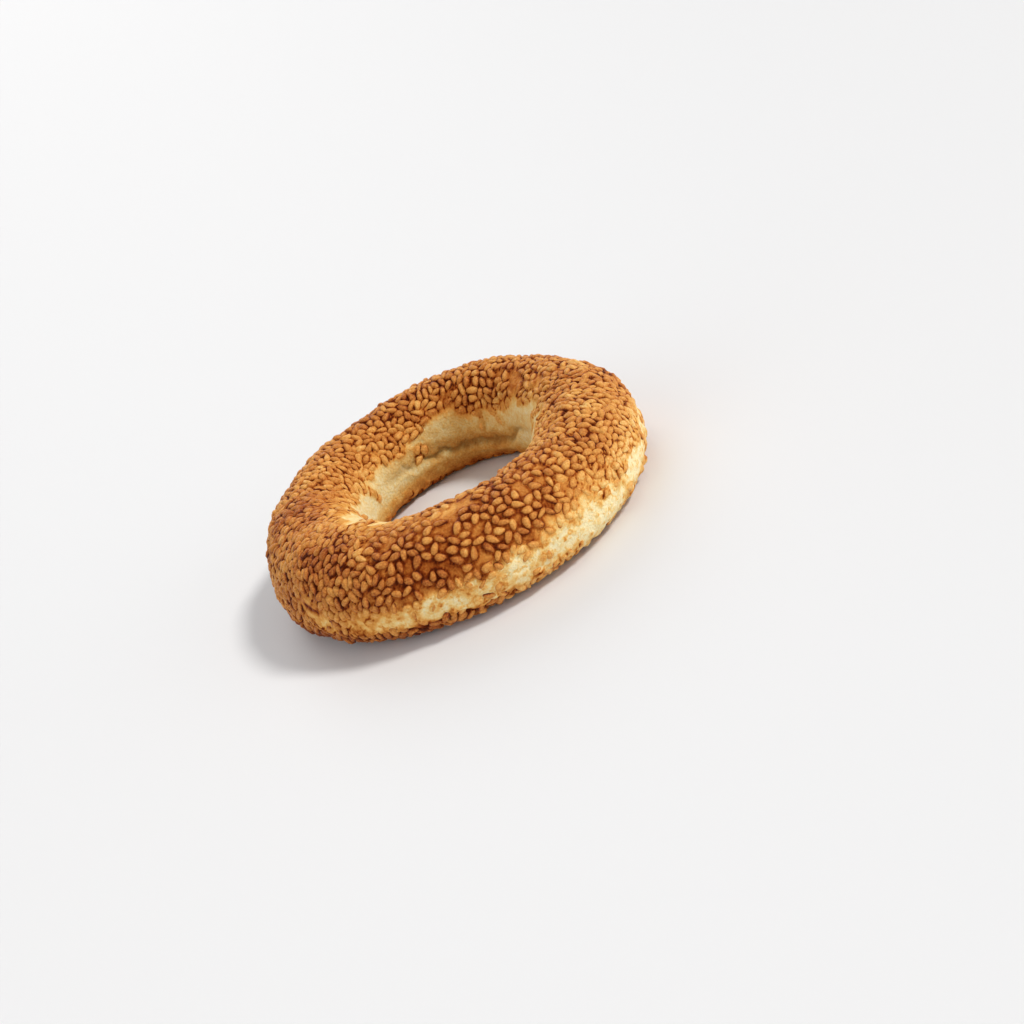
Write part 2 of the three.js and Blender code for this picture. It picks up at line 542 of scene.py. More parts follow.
def long_axis(along, normal, heading):
    """The unit vector of a seed's long axis, at an angle to the way around."""
    way_around = unit(along)
    way_over = np.cross(normal, way_around)
    turn = heading[:, None]
    return np.cos(turn) * way_around + np.sin(turn) * way_over


def weighted(weights, amounts):
    """The sum of amounts, each by its weight."""
    return sum(weight * amounts[name] for name, weight in weights.items())


def sticks(seeds):
    """Which seeds stuck to the glaze."""
    apart = 1 - seeds["crowd"]
    amounts = {
        "bare patch": region(seeds["around"], seeds["across"], BARE_PATCH),
        "apart": apart,
        "gaps": smooth(soft_noise(seeds["surface"], *GAP_NOISE), *GAP_EDGES) * apart,
        "lip": seeds["lip"],
    }
    coat = 1 - weighted(SEEDS_LOST, amounts)
    strays = STRAYS_BY_EDGE * np.exp(np.minimum(seeds["margin"], 0) / STRAY_REACH)
    return seeds["keep"] < np.where(seeds["margin"] > 0, coat, strays)


def distance_to(points, around, across):
    """How far points are from the ring's place at so many degrees around and across."""
    middle = ring_point(np.radians(around), share_at(np.radians(across)))
    return np.linalg.norm(points - middle, axis=-1)


def clear_of_pits(surface):
    """Which seeds lie clear of the pits in the crust."""
    clear = np.ones(len(surface), bool)
    for around, across, size, rise, _ in SPOTS:
        if rise < PIT_RISE:
            clear &= distance_to(surface, around, across) > PIT_CLEARANCE * size
    return clear


def sink_seeds(seeds, amounts):
    """Works out how deep each seed is sunk, how it leans and how far it stands out."""
    raised = (seeds["sink"] < RAISED_SHARE * seeds["crowd"]) & (amounts["beneath"] == 0)
    melt = keyed(seeds["around"], MELTING) + weighted(SEED_MELT, amounts)
    seeds["melt"] = np.clip(melt + SEED_MELT_SPREAD * (seeds["sink"] - 0.5), 0, MOST_MELT) * ~raised
    seeds["lean"] = weighted(SEED_LEAN, amounts)
    proud = weighted(SEED_RISE, amounts) + SEED_RISE_SPREAD * (seeds["rise"] - 0.5)
    seeds["proud"] = proud + RAISED_HEIGHT * raised


def toast_seeds(seeds, amounts):
    """Works out how brown each seed is."""
    around, across = seeds["around"], seeds["across"]
    toast = keyed(around, SEED_BAKE) + oven_tone(seeds["surface"]) + weighted(SEED_TOAST, amounts)
    toast = toast + SEED_TOAST_SPREAD * (seeds["brown"] - 0.5)
    beside = crust_bake(around, across, seeds["margin"]) + BROWNER_THAN_CRUST
    alike = amounts["border"] * np.where(seeds["margin"] > 0, ALIKE_INSIDE, ALIKE_OUTSIDE)
    toast = toast + (np.minimum(toast, beside) - toast) * alike
    seeds["toast"] = np.clip(toast, *SEED_TOAST_LIMITS)


def seed_amounts(seeds):
    """What sinks, lifts and browns the seeds, each from 0 to 1 at every seed."""
    around, across = seeds["around"], seeds["across"]
    deeper = keyed(around, UNDER_BAKE_LIGHT_AND_SHADE) - keyed(around, GLAZE_BAKE)
    return {
        "always": 1,
        "crowd": seeds["crowd"],
        "lip": seeds["lip"],
        "patch": region(around, across, SMOOTH_PATCH),
        "slope": region(around, across, MELTED_SLOPE),
        "beneath": smooth(-signed_degrees(across), *BENEATH),
        "border": 1 - smooth(seeds["margin"], 0, BORDER_WIDTH * gold_width(around, across)),
        # seeds below the belt follow that crust, its painted light and shade included
        "browner below": deeper * below_belt(around, across),
    }


def settle_seeds():
    """The seeds that stuck, each with its place, its axes and how it sits in the crust."""
    seeds = spread_seeds()
    around, across = seeds["around"], across_at(seeds["share"])
    point, along, _, normal = ring_frame(around, seeds["share"])
    seeds["across"] = across
    seeds["surface"] = point
    seeds["normal"] = normal
    seeds["point"] = point - normal * SEED_COAT
    seeds["axis"] = long_axis(along, normal, seeds["heading"])
    seeds["margin"] = coat_margin(point, around, across)
    seeds["crowd"] = crowding(around, across)
    seeds["lip"] = below_belt(around, across) * torn_side(around)
    seeds = chosen(seeds, sticks(seeds) & clear_of_pits(point))
    amounts = seed_amounts(seeds)
    sink_seeds(seeds, amounts)
    toast_seeds(seeds, amounts)
    return seeds


def seed_template():
    """A seed's points as shares of its half length, half width and height, its rim shade and its
    triangles.
    """
    angle = np.arange(SEED_SIDES) * TURN / SEED_SIDES
    long_way, sine = np.cos(angle), np.sin(angle)
    short_way = np.sign(sine) * np.abs(sine) ** SEED_BLUNTNESS * (1 - SEED_TIP * long_way)
    points = [
        np.stack((scale * long_way, scale * short_way, np.full(SEED_SIDES, height)), axis=1)
        for scale, height, _ in SEED_RINGS
    ]
    top = len(SEED_RINGS) * SEED_SIDES
    points.append(np.array([SEED_TOP, SEED_FOOT]))
    rim = np.concatenate([np.full(SEED_SIDES, value) for *_, value in SEED_RINGS] + [[0, 1]])
    side = np.arange(SEED_SIDES)
    following = (side + 1) % SEED_SIDES
    low = top - SEED_SIDES
    faces = [
        np.stack((following, side, np.full(SEED_SIDES, top + 1)), axis=1),
        np.stack((low + side, low + following, np.full(SEED_SIDES, top)), axis=1),
    ]
    for ring in range(len(SEED_RINGS) - 1):
        low, high = ring * SEED_SIDES, (ring + 1) * SEED_SIDES
        faces.append(np.stack((low + side, low + following, high + following), axis=1))
        faces.append(np.stack((low + side, high + following, high + side), axis=1))
    return np.concatenate(points), rim, np.concatenate(faces)


def seed_bulges(seeds):
    """How much each point of each seed lies further out or in than the template's."""
    angle = np.arange(SEED_SIDES) * TURN / SEED_SIDES
    amount = (LEAST_UNEVEN + (1 - LEAST_UNEVEN) * seeds["crowd"])[:, None]
    oval = np.cos(2 * angle + TURN * seeds["oval_turn"][:, None]) * seeds["bulge"][:, None]
    corners = np.cos(3 * angle + TURN * seeds["corner_turn"][:, None])
    outline = 1 + amount * (SEED_OVAL * oval + SEED_CORNERS * corners)
    return np.concatenate([outline] * len(SEED_RINGS) + [np.ones((len(outline), 2))], axis=1)


def seed_mesh(seeds):
    """The seeds that show as one array of points, their triangles, and what colours each point."""
    seeds = chosen(seeds, seeds["melt"] < MOST_MELT_SHOWN)
    template, rim, faces = seed_template()
    shape = (len(seeds["around"]), len(template))
    lean_long = ((seeds["lean_long"] - 0.5) * seeds["lean"])[:, None]
    lean_side = ((seeds["lean_side"] - 0.5) * seeds["lean"])[:, None]
    axis, normal = seeds["axis"], seeds["normal"]
    up = unit(normal + lean_long * axis + lean_side * np.cross(normal, axis))
    axis = unit(axis - (axis * up).sum(1)[:, None] * up)
    side = np.cross(up, axis)
    bulges = seed_bulges(seeds)
    along = template[None, :, 0] * bulges * seeds["length"][:, None] / 2
    over = template[None, :, 1] * bulges * seeds["width"][:, None] / 2
    height = template[None, :, 2] * (SEED_ROOT + seeds["proud"])[:, None] - SEED_ROOT
    points = seeds["point"][:, None] + sum(
        amount[..., None] * way[:, None] for amount, way in ((along, axis), (over, side), (height, up))
    )
    points[..., 2] = np.maximum(points[..., 2], 0)
    ends = template[:, 0] ** 4
    fill = glaze_fill(points, seeds["around"][:, None], seeds["across"][:, None])
    filled = np.clip(fill + END_FILLED * ends, 0, 1) * seeds["crowd"][:, None]
    depth = RIM_APART + (1 - RIM_APART) * seeds["crowd"][:, None]
    triangles = faces[None] + (np.arange(shape[0]) * shape[1])[:, None, None]
    return points.reshape(-1, 3), triangles.reshape(-1, 3), {
        # painted shade at each seed's rim, less where glaze fills round a packed seed
        "rim": (rim * depth * (1 - RIM_FILLED * filled)).ravel(),
        "toast": np.broadcast_to(seeds["toast"][:, None], shape).ravel(),
    }


# -------- crust

SPLIT_LEVEL = (  # degrees across of the split on the hole's wall
    (20, 169), (30, 172), (38, 178), (45, 186), (60, 187), (70, 183), (90, 181), (100, 178), (115, 176),
    (130, 172),
)
SPLIT_DEPTH = (
    (12, 0), (28, 0.5), (42, 1.1), (60, 1.35), (90, 1.2), (104, 0.8), (118, 0.4), (132, 0),
)
SPLIT_HALF_WIDTH = 0.66
SPLIT_SHADE = (1.0, 1.3, 1.7)  # hollow and painted shade over the split: amount, place above the split, half width
SPLIT_LEDGE = (0.55, -1.9, 1.3)  # the same
SECTION_LENGTH = 80.0  # round the dough, roughly
SPOTS = (  # degrees around and across, size, rise, how much browner
    # the first three are pits, darkened inside as painted shade
    (212, 17, 1.2, -0.60, 0.80),
    (214, 15, 1.2, -0.60, 0.80),
    (216, 12, 1.1, -0.55, 0.70),
    (214, 15, 3.6, 0.70, -0.26),
    (276, 4, 1.8, 0.25, -0.20),
    (284, 12, 2.2, 0.10, 0.26),
    (297, 2, 1.7, -0.10, 0.30),
    (309, 4, 1.6, 0.10, 0.34),
    (318, -3, 1.5, 0.05, 0.28),
)
SPOT_SHARPNESS = 1.5
SEED_REACH_ROWS = 9  # steps of the mesh that a seed can shape, either way
SEED_REACH_COLUMNS = 7
FAR_FROM_SEEDS = 5.0
SEED_DOME_REACH = 1.2  # of a seed's outline, over which it lifts the crust
SEED_MIDDLE = 0.05  # of it, inside which all counts as the middle
DOME_BY_MELT = 1.6  # power by which a more sunk seed lifts the crust more
SEED_END_SIDES = (-0.2, 0.1)  # distances from it over which a seed's ends tell
VALLEY_WIDTH = 0.32
VALLEY_SIDES = (0.8, 0.3)  # distances from a seed where it ends and is whole

# The belt's torn lower edge, in degrees across down from it.
TORN_LIP = (1, 3.5)  # middle and half width
TORN_GAP = (8, 2.6)
UNDER_LIP = (2, 8)  # where the scorched flakes begin
USUAL_FLAKE = 0.6
FLAKE_LIMITS = (0.1, 1.4)
LIP_RISE = 0.6
# painted shade in the gap under the lip
GAP_SHADE = 0.34
LIP_BROWNING = 0.08
SCORCHING = 0.9  # of the flakes that stand out most
SCORCHED_FLAKE = 0.75

# The crust's own relief.
CRUST_NOISE = ((7, 2), (2.6, 4), (1.1, 9))  # size and pattern of broad, middle and fine waves
COAT_EDGE = (-2, 8)  # margin over which the coat begins
PACKED_RISE = 0.06
FILLED_RISE = 0.46
CRUST_RISE = {  # of the rest, in millimetres
    "bare": 0.25, "broad": 0.12, "middle": 0.07, "fine": 0.08, "middle on belt": 0.14,
    "fine on belt": 0.112, "ledge": 1, "groove": -1, "shade": -0.3, "spot": 1, "torn": 1,
}
CRUST_END_FILLED = 0.45

# The crust's own browning, and the shade painted into it.
BLOTCHES = (0.10, 0.06)  # by the middle and the fine waves
BLOTCHED_BAKE = (0.0, 0.45)  # bake over which they begin to show
BELT_BLOTCHES = ((0.34, 0.06), (0.30, 0.12))  # amount and least wave, by the same waves
COVERED_SIDES = (0.30, -0.25)  # distances from a seed over which its colour begins
COVERED_MELT = (0.25, 0.85)
FILLED_COVER = 0.9
COVER_BROWNING = 0.04
# painted shade over the split
PAINTED_SPLIT_SHADE = 0.14
OUTLINE = (0.12, 0.28)  # distance and half width of the painted shade line round a seed
OUTLINE_SHADE = 0.28
PACKED_OUTLINE_LOSS = 0.7
VALLEY_APART = 0.30  # painted shade in a valley where seeds lie apart
EDGE_CREASE = 0.75  # painted shade in creases at the coat's edge
EDGE_CREASE_END = (-6, 12)
OPEN_CREASE = 1.25  # painted shade where no glaze fills them
CREASE_LOST_FILLED = 1.1
WALL_EDGE = (-16, 0)  # margin over which the hole's bare wall begins
WALL_TOP = (130, 160)  # degrees across where its painted shade and grey begin
WALL_FOOT = (225, 205)  # and ends
SHADE_IN_SPLIT = 0.35


def seed_relief(seeds, points):
    """What the seeds do to each point of the crust: how far from the nearest two, its lift and colour."""
    shape = points.shape[:2]
    relief = {name: np.zeros(shape) for name in ("lift", "melt", "toast", "end")}
    nearest = np.full(shape, FAR_FROM_SEEDS)
    second = np.full(shape, FAR_FROM_SEEDS)
    rows = np.round(seeds["around"] / TURN * shape[0]).astype(int)
    columns = np.round(np.mod(seeds["share"], 1) * shape[1]).astype(int)
    span_rows = np.arange(-SEED_REACH_ROWS, SEED_REACH_ROWS + 1)
    span_columns = np.arange(-SEED_REACH_COLUMNS, SEED_REACH_COLUMNS + 1)
    side = np.cross(seeds["normal"], seeds["axis"])
    for one in range(len(rows)):
        row = ((rows[one] + span_rows) % shape[0])[:, None]
        column = ((columns[one] + span_columns) % shape[1])[None]
        away = points[row, column] - seeds["point"][one]
        along, over = away @ seeds["axis"][one], away @ side[one]
        half_length, half_width = seeds["length"][one] / 2, seeds["width"][one] / 2
        narrowing = 1 - SEED_TIP * np.clip(along / half_length, -1, 1)
        out = np.hypot(along / half_length, over / half_width / narrowing)
        out = np.maximum(out, SEED_MIDDLE)
        gap = np.hypot(along, over) * (1 - 1 / out)
        before = nearest[row, column]
        closer = gap < before
        second[row, column] = np.where(closer, before, np.minimum(second[row, column], gap))
        nearest[row, column] = np.where(closer, gap, before)
        end = (along / half_length / out) ** 2
        melt, toast = seeds["melt"][one], seeds["toast"][one]
        dome = np.sqrt(np.clip(1 - (out / SEED_DOME_REACH) ** 2, 0, 1))
        dome = dome * seeds["proud"][one] * min(melt, 1) ** DOME_BY_MELT
        relief["lift"][row, column] = np.maximum(relief["lift"][row, column], dome)
        for name, value in (("melt", melt), ("toast", toast), ("end", end)):
            relief[name][row, column] = np.where(closer, value, relief[name][row, column])
    relief["nearest"] = nearest
    relief["end"] = relief["end"] * smooth(nearest, *SEED_END_SIDES)
    relief["valley"] = swell(second - nearest, 0, VALLEY_WIDTH) * smooth(nearest, *VALLEY_SIDES)
    return relief


def split_shape(around, share, points):
    """The split in the hole's wall: its groove, the shade over it and the ledge that swells below it."""
    level = share_at(np.radians(keyed(around, SPLIT_LEVEL)))
    depth = keyed(around, SPLIT_DEPTH)
    below = (share - level) * SECTION_LENGTH + layered_noise(points, SPLIT_RAGGEDNESS)
    groove = depth * swell(below, 0, SPLIT_HALF_WIDTH)
    shade, ledge = (
        depth * amount * swell(below, -above, half_width)
        for amount, above, half_width in (SPLIT_SHADE, SPLIT_LEDGE)
    )
    return groove, shade, ledge


def spot_shape(points):
    """Small spots: how far each place rises and how much browner it is; in the pits that darkening is
    painted shade.
    """
    rise, brown = np.zeros(points.shape[:2]), np.zeros(points.shape[:2])
    for around, across, size, height, change in SPOTS:
        near = swell(distance_to(points, around, across), 0, size) ** SPOT_SHARPNESS
        rise += height * near
        brown += change * near
    return rise, brown


def torn_edge(around, across, points):
    """The belt's lower edge, torn into a rough lip with a gap under it that is darkened as painted shade.
    """
    torn = torn_side(around)
    down = keyed(around, BELT_BOTTOM) - signed_degrees(across) + layered_noise(points, TORN_RAGGEDNESS)
    flakes = np.clip(USUAL_FLAKE + layered_noise(points, FLAKES), *FLAKE_LIMITS)
    lip, gap = swell(down, *TORN_LIP), swell(down, *TORN_GAP)
    scorched = SCORCHING * np.maximum(0, flakes - SCORCHED_FLAKE) * smooth(down, *UNDER_LIP)
    # painted shade in the gap, with the lip's and the flakes' own browning
    brown = GAP_SHADE * gap + LIP_BROWNING * lip * flakes + scorched
    return torn * LIP_RISE * (lip * flakes - gap), torn * brown


def blotched(bake, belt, point, waves):
    """The bake with its blotches, which are strongest on the belt."""
    blotches = sum(amount * wave for amount, wave in zip(BLOTCHES, waves)) + oven_tone(point)
    bake = bake + blotches * smooth(bake, *BLOTCHED_BAKE)
    return bake + belt * sum(
        amount * np.maximum(0, wave - least) for (amount, least), wave in zip(BELT_BLOTCHES, waves)
    )


def crust_creases(crowd, margin, filled, seeded):
    """How dark the lines between and round the seeds are: painted shade, with some of the glaze's own
    browning.
    """
    valley = seeded["valley"] * (VALLEY_APART + (1 - VALLEY_APART) * crowd)
    outline = OUTLINE_SHADE * swell(seeded["nearest"], *OUTLINE) * (1 - PACKED_OUTLINE_LOSS * crowd)
    inside = EDGE_CREASE + (1 - EDGE_CREASE) * smooth(margin, *EDGE_CREASE_END)
    return np.maximum(valley, outline) * inside * (OPEN_CREASE - CREASE_LOST_FILLED * filled)


def wall_shade_and_greying(around, across, margin):
    """How much painted shade and grey a place on the hole's bare wall takes."""
    wall = (1 - smooth(margin, *WALL_EDGE)) * smooth(whole_degrees(across), *WALL_TOP)
    return wall * smooth(whole_degrees(across), *WALL_FOOT) * keyed(around, WALL_SHADE_AND_GREY)


def crust_mesh(seeds):
    """The crust's points, its faces and what colours each point."""
    around, share = np.meshgrid(
        np.arange(STEPS_AROUND) * TURN / STEPS_AROUND,
        np.arange(STEPS_ACROSS) / STEPS_ACROSS,
        indexing="ij",
    )
    point, _, _, normal = ring_frame(around, share)
    across = across_at(share)
    seeded = seed_relief(seeds, point - normal * SEED_COAT)
    broad, middle, fine = (soft_noise(point, *wave) for wave in CRUST_NOISE)
    margin = coat_margin(point, around, across)
    coated = smooth(margin, *COAT_EDGE)
    crowd = crowding(around, across)
    belt = (1 - coated) * faces_out(across)
    groove, shade, ledge = split_shape(around, share, point)
    spot_rise, spot_brown_and_shade = spot_shape(point)
    torn_rise, torn_brown_and_shade = torn_edge(around, across, point)
    filled = glaze_fill(point, around, across) + CRUST_END_FILLED * seeded["end"]
    filled = np.clip(filled, 0, 1) * crowd * coated
    relief = np.maximum(seeded["lift"], PACKED_RISE * crowd * coated + FILLED_RISE * filled)
    relief += weighted(CRUST_RISE, {
        "bare": 1 - coated, "broad": broad, "middle": middle, "fine": fine,
        "middle on belt": middle * belt, "fine on belt": fine * belt,
        "ledge": ledge, "groove": groove, "shade": shade, "spot": spot_rise, "torn": torn_rise,
    })

    bake = blotched(crust_bake(around, across, margin), belt, point, (middle, fine))
    covered = smooth(seeded["nearest"], *COVERED_SIDES) * smooth(seeded["melt"], *COVERED_MELT)
    covered = np.maximum(covered, FILLED_COVER * filled)
    bake = bake + (seeded["toast"] + COVER_BROWNING - bake) * covered
    # painted shade over the split, then the torn edge's and the spots' browning and painted shade
    bake = bake + PAINTED_SPLIT_SHADE * shade + torn_brown_and_shade + spot_brown_and_shade

    crust = point + normal * (relief - SEED_COAT)[..., None]
    crust[..., 2] = np.maximum(crust[..., 2], CRUST_LOWEST)
    row, column = np.meshgrid(np.arange(STEPS_AROUND), np.arange(STEPS_ACROSS), indexing="ij")
    next_row, next_column = (row + 1) % STEPS_AROUND, (column + 1) % STEPS_ACROSS
    corners = [
        r * STEPS_ACROSS + c
        for r, c in ((row, column), (next_row, column), (next_row, next_column), (row, next_column))
    ]
    faces = np.stack(corners, axis=-1).reshape(-1, 4)
    return crust.reshape(-1, 3), faces, {
        "bake": np.clip(bake, 0, 1).ravel(),
        # painted shade in the creases and round the seeds, with some glaze browning
        "crease": crust_creases(crowd, margin, filled, seeded).ravel(),
        "crumb": (1 - coated).ravel(),
        "belt": belt.ravel(),
        # painted shadow in the split's groove and the shade over it
        "split": np.clip(groove + SHADE_IN_SPLIT * shade, 0, 1).ravel(),
        # painted shade and greying on the hole's bare wall
        "wall": wall_shade_and_greying(around, across, margin).ravel(),
    }


# -------- meshes and materials


def add_piece(name, points, faces, values, material, middle):
    """Makes an object of arrays in millimetres, smooth shaded, with one value per point for each name."""
    mesh = bpy.data.meshes.new(name)
    mesh.from_pydata(((points - middle) * METRES).tolist(), [], faces.tolist())
    mesh.validate()
    for label, numbers in values.items():
        layer = mesh.attributes.new(label, "FLOAT", "POINT")
        layer.data.foreach_set("value", numbers.astype(np.float32))
    mesh.polygons.foreach_set("use_smooth", np.ones(len(mesh.polygons), bool))
    mesh.materials.append(material)
    piece = bpy.data.objects.new(name, mesh)
    bpy.context.scene.collection.objects.link(piece)
    return piece


def colour(red, green, blue):
    """A colour as it looks on a screen, 0 to 255, as linear light."""
    return tuple(
        value / 12.92 if value <= 0.04045 else ((value + 0.055) / 1.055) ** 2.4
        for value in (red / 255, green / 255, blue / 255)
    ) + (1.0,)


class Nodes:
    """Adds nodes to one material and links them."""

    def __init__(self, name):
        self.material = bpy.data.materials.new(name)
        self.material.use_nodes = True
        self.tree = self.material.node_tree
        self.shader = self.tree.nodes["Principled BSDF"]

    def add(self, kind, settings=None, **inputs):
        node = self.tree.nodes.new("ShaderNode" + kind)
        for name, value in (settings or {}).items():
            setattr(node, name, value)
        for name, value in inputs.items():
            self.feed(node.inputs[name.replace("_", " ")], value)
        return node

    def feed(self, socket, value):
        if isinstance(value, bpy.types.NodeSocket):
            self.tree.links.new(value, socket)
        else:
            socket.default_value = value

    def value(self, name):
        """A value kept on the mesh's points."""
        return self.add("Attribute", {"attribute_name": name}).outputs["Fac"]

    def maths(self, operation, first, second=0.0, clamp=False):
        node = self.add("Math", {"operation": operation, "use_clamp": clamp})
        self.feed(node.inputs[0], first)
        self.feed(node.inputs[1], second)
        return node.outputs[0]

    def centred(self, value, amount):
        """Noise from 0 to 1 as a change of up to half the amount, either way."""
        return self.maths("MULTIPLY", self.maths("SUBTRACT", value, 0.5), amount)

    def noise(self, per_metre, detail, roughness=0.55):
        place = self.add("TexCoord").outputs["Object"]
        node = self.add("TexNoise", Vector=place, Scale=per_metre, Detail=detail, Roughness=roughness)
        return node.outputs["Fac"]

    def ramp(self, factor, stops):
        node = self.add("ValToRGB", Fac=factor)
        elements = node.color_ramp.elements
        while len(elements) < len(stops):
            elements.new(0.5)
        for element, (position, tint) in zip(elements, stops):
            element.position = position
            element.color = tint
        return node.outputs["Color"]

    def mix(self, factor, first, second, blend="MIX"):
        node = self.add("Mix", {"data_type": "RGBA", "blend_type": blend})
        self.feed(node.inputs["Factor"], factor)
        self.feed(node.inputs[6], first)
        self.feed(node.inputs[7], second)
        return node.outputs[2]

    def bump(self, height, distance):
        return self.add("Bump", Height=height, Distance=distance, Strength=1.0).outputs["Normal"]

    def finish(self, **inputs):
        for name, value in inputs.items():
            self.feed(self.shader.inputs[name.replace("_", " ")], value)
        return self.material


BAKED_TINTS = (  # from pale crumb to the darkest creases
    (0.00, (250, 234, 188)),
    (0.12, (245, 215, 150)),
    (0.25, (238, 190, 112)),
    (0.38, (228, 163, 82)),
    (0.52, (210, 138, 63)),
    (0.66, (184, 107, 43)),
    (0.80, (150, 73, 21)),
    (0.92, (115, 42, 6)),
    (1.00, (84, 26, 2)),
)
WARM_GLOSS = (1.0, 0.82, 0.64, 1.0)
# painted shade and greying, multiplied into the hole's wall
WALL_SHADE_AND_GREY_TINT = (0.78, 0.83, 0.90, 1.0)
# painted shadow in the split
SPLIT_SHADOW = (120, 80, 38)
FLOOR_TINT = (230, 230, 231)
UNDER_SURFACE = 0.06  # weight of light under the surface
BLOTCH_SCALE, SPECK_SCALE, SCORCH_SCALE, GRAIN_SCALE = 420, 1700, 700, 1900  # noise per metre
# painted shade in the creases, with some glaze browning
CREASE_SHADE_AND_GLAZE = 0.80
RIM_SHADE = 0.72
RIM_TIGHTNESS = 3.0  # power that keeps the rim's painted shade close to it
LEAST_SCORCH = 0.54  # of the noise, past which the belt freckles
FRECKLES = 1.8


def baked_tint(nodes, bake):
    return nodes.ramp(bake, [(position, colour(*tint)) for position, tint in BAKED_TINTS])


def crust_material():
    """Baked dough: cream crumb through gold and tan to dark glaze, by how much each place baked, with
    painted shade in the creases, on the hole's wall and in its split.
    """
    nodes = Nodes("baked_crust")
    blotch = nodes.noise(BLOTCH_SCALE, 5)
    speck = nodes.noise(SPECK_SCALE, 4)
    wander = nodes.maths("ADD", nodes.centred(blotch, 0.34), nodes.centred(speck, 0.38))
    scorch = nodes.maths("SUBTRACT", nodes.noise(SCORCH_SCALE, 3), LEAST_SCORCH)
    scorch = nodes.maths("MULTIPLY", nodes.maths("MAXIMUM", scorch, 0.0), FRECKLES)
    freckle = nodes.maths("MULTIPLY", scorch, nodes.value("belt"))
    # painted shade in the creases
    crease = nodes.maths("MULTIPLY", nodes.value("crease"), CREASE_SHADE_AND_GLAZE)
    bake = nodes.maths("ADD", nodes.maths("ADD", nodes.value("bake"), crease), freckle)
    bake = nodes.maths("ADD", bake, wander, clamp=True)
    # painted shade and greying on the hole's wall
    tint = nodes.mix(nodes.value("wall"), baked_tint(nodes, bake), WALL_SHADE_AND_GREY_TINT, "MULTIPLY")
    # painted shadow in the split
    shadow = nodes.maths("MULTIPLY", nodes.value("split"), 0.5)
    height = nodes.maths("ADD", speck, nodes.maths("MULTIPLY", blotch, 1.5))
    return nodes.finish(
        Base_Color=nodes.mix(shadow, tint, colour(*SPLIT_SHADOW)),
        Roughness=nodes.maths("ADD", 0.46, nodes.maths("MULTIPLY", nodes.value("crumb"), 0.36)),
        Normal=nodes.bump(height, 0.00045),
        Specular_IOR_Level=0.07,
        Specular_Tint=WARM_GLOSS,
        Subsurface_Weight=UNDER_SURFACE,
        Subsurface_Radius=(0.0012, 0.0006, 0.0003),
        Subsurface_Scale=1.0,
    )


def seed_material():
    """Toasted sesame: gold to brown, each seed its own, with painted shade darkening it where it meets the
    crust.
    """
    nodes = Nodes("sesame_seed")
    grain = nodes.noise(GRAIN_SCALE, 4, 0.65)
    # painted shade darkens the seed towards its rim
    rim = nodes.maths("MULTIPLY", nodes.maths("POWER", nodes.value("rim"), RIM_TIGHTNESS), RIM_SHADE)
    change = nodes.maths("ADD", nodes.centred(grain, 0.80), rim)
    toast = nodes.maths("ADD", nodes.value("toast"), change, clamp=True)
    return nodes.finish(
        Base_Color=baked_tint(nodes, toast),
        Roughness=0.46,
        Normal=nodes.bump(grain, 0.00030),
        Specular_IOR_Level=0.26,
        Specular_Tint=WARM_GLOSS,
        Subsurface_Weight=UNDER_SURFACE,
        Subsurface_Radius=(0.0010, 0.0005, 0.0002),
        Subsurface_Scale=1.0,
    )


def floor_material():
    nodes = Nodes("studio_floor")
    return nodes.finish(Base_Color=colour(*FLOOR_TINT), Roughness=0.6, Specular_IOR_Level=0.2)


# -------- stage, light and camera

CAMERA_ELEVATION = 26.87
CAMERA_ROLL = -27.23
CAMERA_DISTANCE = 0.3694
CAMERA_LENS = 50.0
CAMERA_SENSOR = 36.0
AIM_HEIGHT = 0.0117  # of the point on the hole's axis that the camera was placed by
AIM_LEFT = 0.0154  # how far left of the frame's middle that point shows
AIM_ABOVE = 0.0060
FLOOR_SIZE = 60
HORIZON_LIGHT = 0.78
ZENITH_LIGHT = 0.38
ZENITH_LIGHT_FROM = 0.55  # how far up a direction points where that begins
SKY_TINT = (250, 251, 252)
LIGHTS = (  # name, direction it comes from, strength, spread in degrees, tint
    ("key", (0.66, -0.14, 0.74), 2.02, 12, (1.0, 0.98, 0.95)),
    ("behind", (-0.10, 0.78, 0.55), 0.75, 40, (1, 1, 1)),
    ("left", (-0.75, -0.40, 0.52), 0.52, 50, (1, 1, 1)),
    ("low_right", (0.85, -0.50, 0.12), 0.68, 50, (1, 1, 1)),
)


def camera_axes():
    """The camera's right, up and backward directions."""
    elevation, roll = math.radians(CAMERA_ELEVATION), math.radians(CAMERA_ROLL)
    back = Vector((0, -math.cos(elevation), math.sin(elevation)))
    right = Vector((1, 0, 0))
    up = back.cross(right)
    turned_right = right * math.cos(roll) + up * math.sin(roll)
    turned_up = up * math.cos(roll) - right * math.sin(roll)
    return turned_right, turned_up, back


def add_camera(middle):
    right, up, back = camera_axes()
    aim = Vector((-middle[0] * METRES, -middle[1] * METRES, AIM_HEIGHT))
    place = aim + back * CAMERA_DISTANCE + right * AIM_LEFT - up * AIM_ABOVE
    data = bpy.data.cameras.new("camera")
    data.lens = CAMERA_LENS
    data.sensor_width = CAMERA_SENSOR
    camera = bpy.data.objects.new("camera", data)
    turn = Matrix((right, up, back)).transposed().to_4x4()
    camera.matrix_world = Matrix.Translation(place) @ turn
    bpy.context.scene.collection.objects.link(camera)
    bpy.context.scene.camera = camera


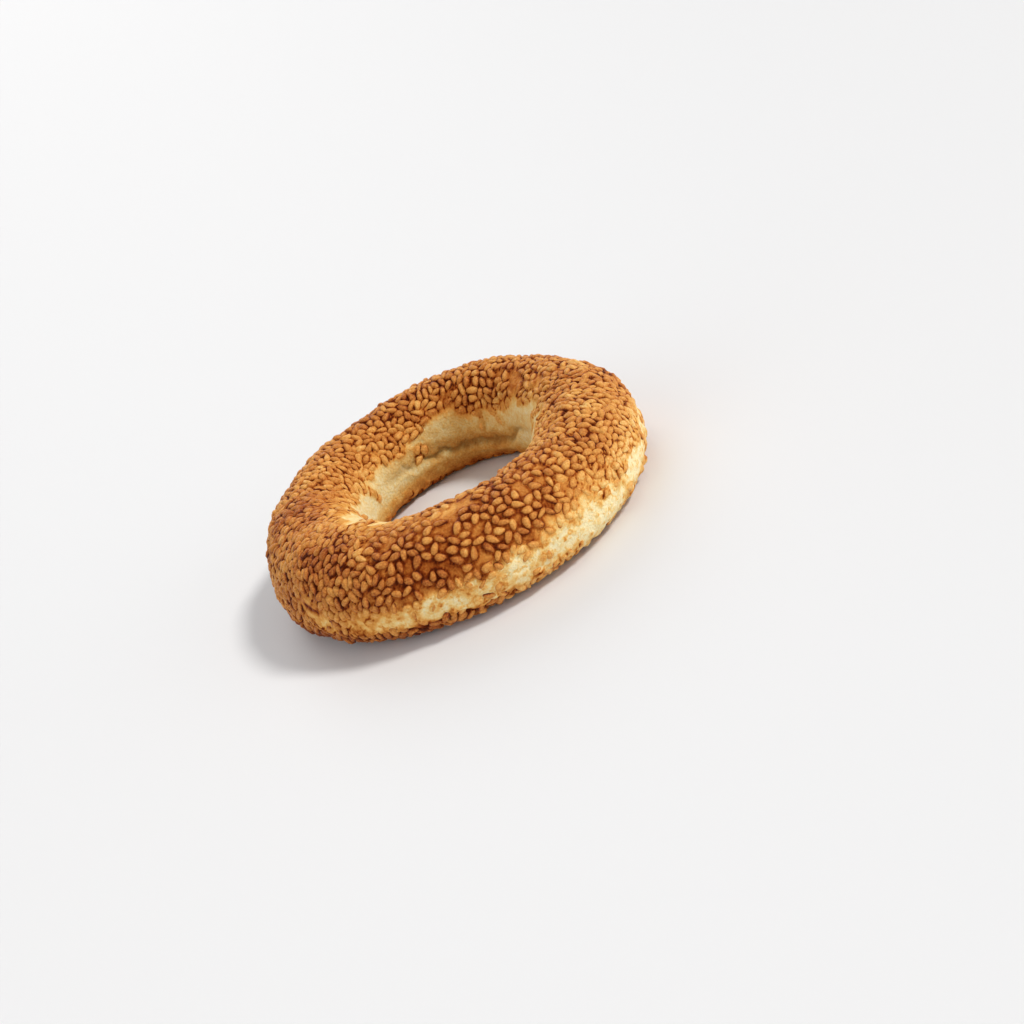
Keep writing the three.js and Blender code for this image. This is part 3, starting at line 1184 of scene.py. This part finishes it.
def add_soft_sun(name, direction, strength, spread, tint):
    """Even light from one direction, as soft as a panel that spreads over that many degrees."""
    data = bpy.data.lights.new(name, "SUN")
    data.energy = strength
    data.angle = math.radians(spread)
    data.color = tint
    light = bpy.data.objects.new(name, data)
    light.rotation_mode = "QUATERNION"
    light.rotation_quaternion = Vector(direction).to_track_quat("Z", "Y")
    bpy.context.scene.collection.objects.link(light)


def add_surroundings():
    """White all round at the height of the horizon, and dimmer overhead."""
    world = bpy.data.worlds.new("surroundings")
    world.use_nodes = True
    tree = world.node_tree
    place = tree.nodes.new("ShaderNodeTexCoord")
    parts = tree.nodes.new("ShaderNodeSeparateXYZ")
    height = tree.nodes.new("ShaderNodeMapRange")
    height.inputs["From Max"].default_value = ZENITH_LIGHT_FROM
    height.inputs["To Min"].default_value = HORIZON_LIGHT
    height.inputs["To Max"].default_value = ZENITH_LIGHT
    background = tree.nodes["Background"]
    background.inputs["Color"].default_value = colour(*SKY_TINT)
    tree.links.new(place.outputs["Generated"], parts.inputs[0])
    tree.links.new(parts.outputs["Z"], height.inputs["Value"])
    tree.links.new(height.outputs["Result"], background.inputs["Strength"])
    bpy.context.scene.world = world


def add_stage():
    """A wide pale floor, even white surroundings and soft lights."""
    bpy.ops.mesh.primitive_plane_add(size=FLOOR_SIZE)
    floor = bpy.context.object
    floor.name = "studio_floor"
    floor.data.materials.append(floor_material())
    add_surroundings()
    bpy.context.scene.view_settings.view_transform = "Standard"
    for light in LIGHTS:
        add_soft_sun(*light)


# -------- the ring


def ring_middle():
    """The middle of the solid's footprint, from the hole's middle."""
    around, share = np.meshgrid(np.linspace(0, TURN, 361), np.linspace(0, 1, 181), indexing="ij")
    points = ring_point(around, share).reshape(-1, 3)
    middle = (points.min(0) + points.max(0)) / 2
    middle[2] = 0
    return middle


def add_ring():
    middle = ring_middle()
    seeds = settle_seeds()
    crust = add_piece("ring_crust", *crust_mesh(seeds), crust_material(), middle)
    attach(crust, "root")
    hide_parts("dough_ring")
    coat = add_piece("sesame_seeds", *seed_mesh(seeds), seed_material(), middle)
    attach(coat, "root")
    return middle


middle_of_ring = add_ring()
add_camera(middle_of_ring)
add_stage()
